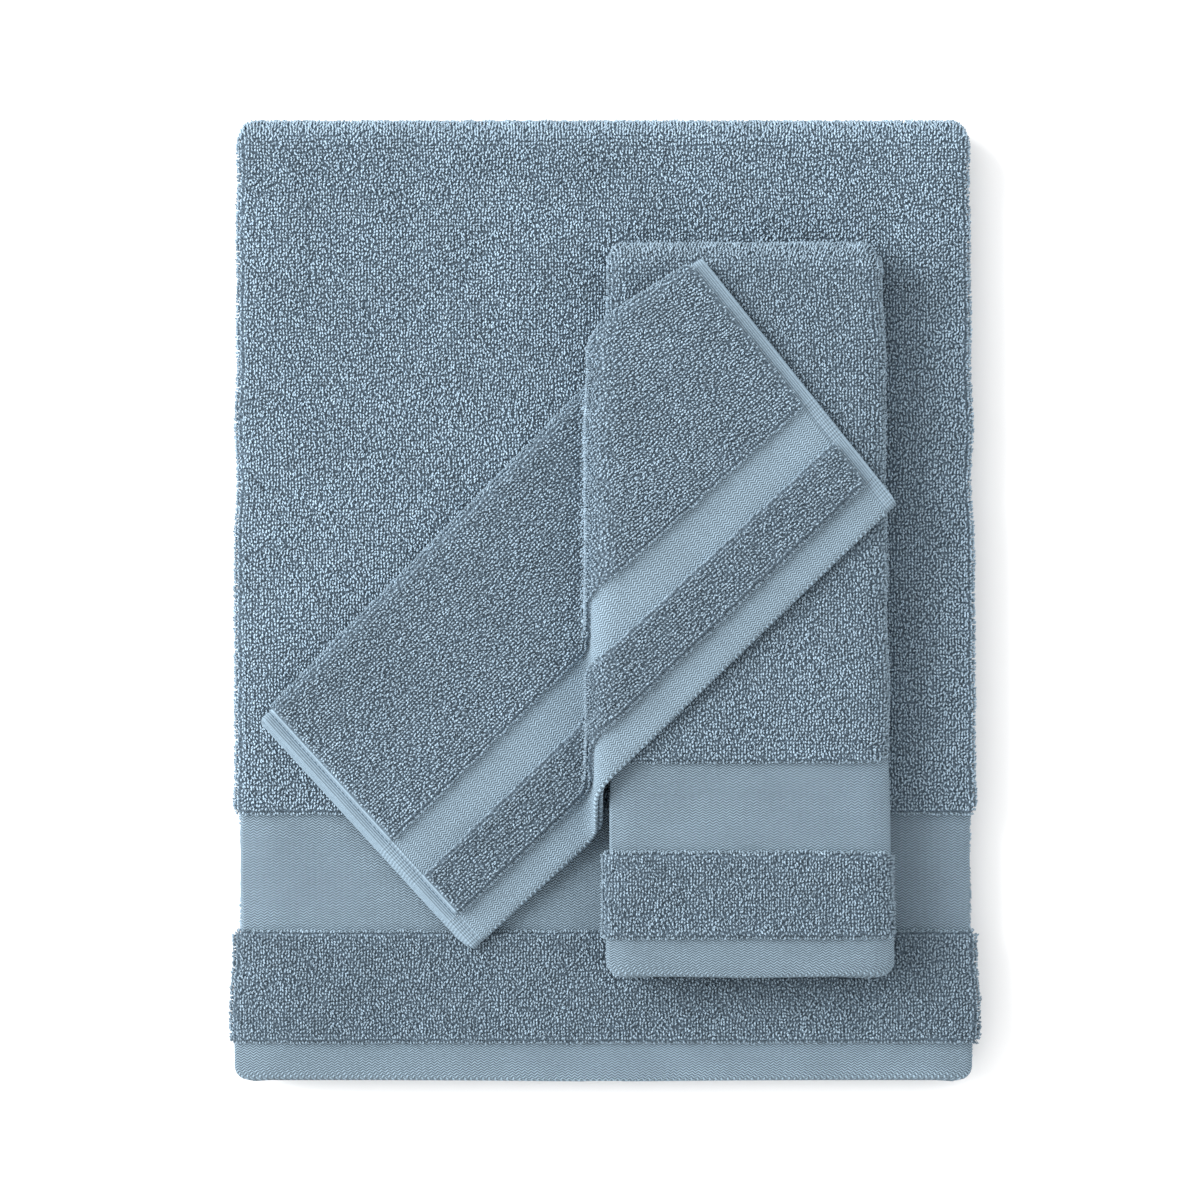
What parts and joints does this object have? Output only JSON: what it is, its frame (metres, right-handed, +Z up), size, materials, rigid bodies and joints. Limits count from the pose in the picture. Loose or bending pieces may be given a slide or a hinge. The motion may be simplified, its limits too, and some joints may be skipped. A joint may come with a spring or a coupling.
{
  "type": "bath towel set",
  "caption": "Folded bath towel with a folded hand towel on it and a washcloth draped over both, terry with flat woven end bands.",
  "frame": {"origin": "centre of the stack's footprint, on the surface it rests on", "axes": "+X to the right along the bath towel's hems, +Y from its hemmed front edge to its folded back edge, +Z up out of the stack"},
  "size_m": [0.3834, 0.492, 0.0697],
  "materials": {
    "terry": "matte",
    "flat_weave": "matte",
    "hem": "matte",
    "thread": "matte"
  },
  "bodies": {
    "bath_towel": {"bath_back_fold_face": "terry", "bath_back_fold_gate": "terry", "bath_base_face_ply": "terry", "bath_base_gate_ply_left": "terry", "bath_base_gate_ply_right": "terry", "bath_base_side_fold_left": "terry", "bath_base_side_fold_right": "terry", "bath_front_fold_face": "terry", "bath_front_fold_gate": "terry", "bath_hem_thread": "thread", "bath_inner_face_ply": "terry", "bath_inner_gate_ply_left": "terry", "bath_inner_gate_ply_right": "terry", "bath_inner_side_fold_left": "terry", "bath_inner_side_fold_right": "terry", "bath_outer_dobby_band": "flat_weave", "bath_outer_end_hem": "hem", "bath_outer_gate_ply_left": "terry", "bath_outer_gate_ply_right": "terry", "bath_outer_side_fold_left": "terry", "bath_outer_side_fold_right": "terry", "bath_outer_terry_band": "terry", "bath_outer_terry_field": "terry"},
    "hand_towel": {"hand_back_fold_inner": "terry", "hand_back_fold_middle": "terry", "hand_back_fold_outer": "terry", "hand_hem_thread": "thread", "hand_lower_cover_flap_ply": "terry", "hand_lower_inner_flap_ply": "terry", "hand_lower_outer_ply": "terry", "hand_lower_side_fold_left": "terry", "hand_lower_side_fold_right": "terry", "hand_upper_cover_flap_ply": "terry", "hand_upper_dobby_band": "flat_weave", "hand_upper_end_hem": "hem", "hand_upper_inner_flap_ply": "terry", "hand_upper_side_fold_left": "terry", "hand_upper_side_fold_right": "terry", "hand_upper_terry_band": "terry", "hand_upper_terry_field": "terry"},
    "washcloth": {"wash_top_dobby_band": "flat_weave", "wash_top_end_hem": "hem", "wash_top_fold_roll": "terry", "wash_top_hem_thread": "thread", "wash_top_lower_ply": "terry", "wash_top_side_hem_lower": "hem", "wash_top_side_hem_upper": "hem", "wash_top_terry_band": "terry", "wash_top_terry_field": "terry"},
    "washcloth_tail": {"wash_tail_dobby_band": "flat_weave", "wash_tail_end_hem": "hem", "wash_tail_fold_roll": "terry", "wash_tail_hem_thread": "thread", "wash_tail_lower_ply": "terry", "wash_tail_side_hem_lower": "hem", "wash_tail_side_hem_upper": "hem", "wash_tail_terry_band": "terry", "wash_tail_terry_field": "terry"}
  },
  "joints": [
    {"name": "hand_towel_lift", "type": "slide", "parent": "bath_towel", "child": "hand_towel", "axis": [0, 0, 1], "range_m": [0, 0.15]},
    {"name": "washcloth_lift", "type": "slide", "parent": "hand_towel", "child": "washcloth", "axis": [0, 0, 1], "range_m": [0, 0.12]},
    {"name": "washcloth_tail_fold", "type": "hinge", "parent": "washcloth", "child": "washcloth_tail", "pos_m": [-0.01325, -0.0054, 0.0397], "axis": [0, 1, 0], "range_deg": [0, 90]}
  ]
}
